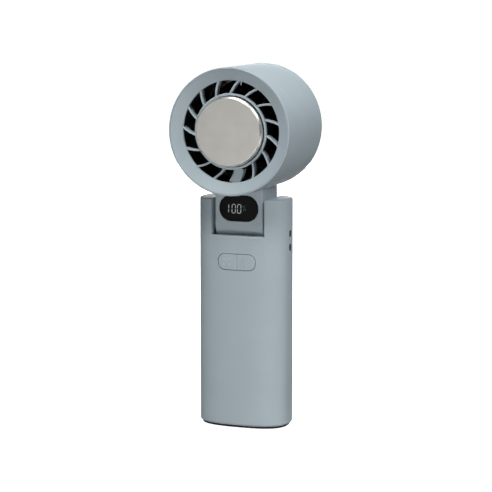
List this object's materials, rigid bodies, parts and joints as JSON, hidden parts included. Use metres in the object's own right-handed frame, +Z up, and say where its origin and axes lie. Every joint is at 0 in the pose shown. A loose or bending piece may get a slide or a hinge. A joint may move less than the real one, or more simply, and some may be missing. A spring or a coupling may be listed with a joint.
{
  "type": "handheld folding fan",
  "caption": "Handheld folding fan with a round ducted head, a cooling disc in its hub, a display on the neck, push buttons and a handle that stands on its base.",
  "frame": {"origin": "middle of the underside of the foot pad, on the surface that the fan stands on", "axes": "+Z up along the handle, -Y the way the fan blows, +X to the right seen from the front"},
  "size_m": [0.058, 0.0471, 0.1675],
  "materials": {
    "body_plastic": "fine matte moulded plastic, blue grey",
    "black_plastic": "matte black moulded plastic",
    "display_black": "smoked gloss window",
    "black_rubber": "matte black rubber or foam",
    "satin_metal": "bead-blasted and anodised, warm grey, bright cut edge",
    "raw_aluminium": "extruded, natural",
    "steel": "turned or pressed steel",
    "bronze": "sintered bronze",
    "copper_winding": "enamelled copper wire",
    "circuit_board": "green solder mask",
    "white_ceramic": "white ceramic",
    "cell_wrap": "shrink-wrapped battery cell",
    "magnet": "bonded ferrite"
  },
  "bodies": {
    "handle": {"handle_shell": "body_plastic", "hinge_pin_left": "steel", "hinge_pin_right": "steel", "friction_washer_left": "bronze", "friction_washer_right": "bronze", "lanyard_pocket": "black_plastic", "inner_frame": "black_plastic", "battery_cell_left": "cell_wrap", "battery_cell_right": "cell_wrap", "main_board": "circuit_board", "fan_switch": "black_plastic", "cooling_switch": "black_plastic", "charge_board": "circuit_board", "usb_c_port": "steel", "base_cap": "black_plastic", "base_screw_front": "steel", "base_screw_rear": "steel", "foot_pad": "black_rubber"},
    "head": {"head_barrel": "body_plastic", "front_grille": "body_plastic", "cold_plate": "satin_metal", "cooling_cup": "black_plastic", "foam_ring": "black_rubber", "peltier_module": "white_ceramic", "heat_sink": "raw_aluminium", "stator_core": "copper_winding", "front_bearing": "steel", "rear_bearing": "steel", "motor_mount": "black_plastic", "driver_board": "circuit_board", "rear_grille": "body_plastic", "rear_screw_1": "steel", "rear_screw_2": "steel", "rear_screw_3": "steel", "neck_housing": "body_plastic", "neck_rear_cover": "body_plastic", "display_lens": "display_black", "display_module": "white_ceramic", "display_board": "circuit_board", "neck_screw_front": "steel", "neck_screw_rear": "steel", "hinge_bush_left": "bronze", "hinge_bush_right": "bronze"},
    "rotor": {"impeller": "black_plastic", "impeller_shaft": "steel", "rotor_can": "steel", "rotor_magnet": "magnet", "shaft_clip": "steel"},
    "fan_key": {"fan_button": "body_plastic"},
    "cooling_key": {"cooling_button": "body_plastic"}
  },
  "joints": [
    {"name": "head_fold", "type": "hinge", "parent": "handle", "child": "head", "pos_m": [0, 0, 0.0957], "axis": [-1, 0, 0], "range_deg": [0, 90]},
    {"name": "impeller_spin", "type": "hinge", "parent": "head", "child": "rotor", "pos_m": [0, 0, 0.1385], "axis": [0, 1, 0], "continuous": true},
    {"name": "fan_button_press", "type": "slide", "parent": "handle", "child": "fan_key", "axis": [0, 1, 0], "range_m": [0, 0.0004], "stiffness_N_per_m": 1500},
    {"name": "cooling_button_press", "type": "slide", "parent": "handle", "child": "cooling_key", "axis": [0, 1, 0], "range_m": [0, 0.0004], "stiffness_N_per_m": 1500}
  ]
}
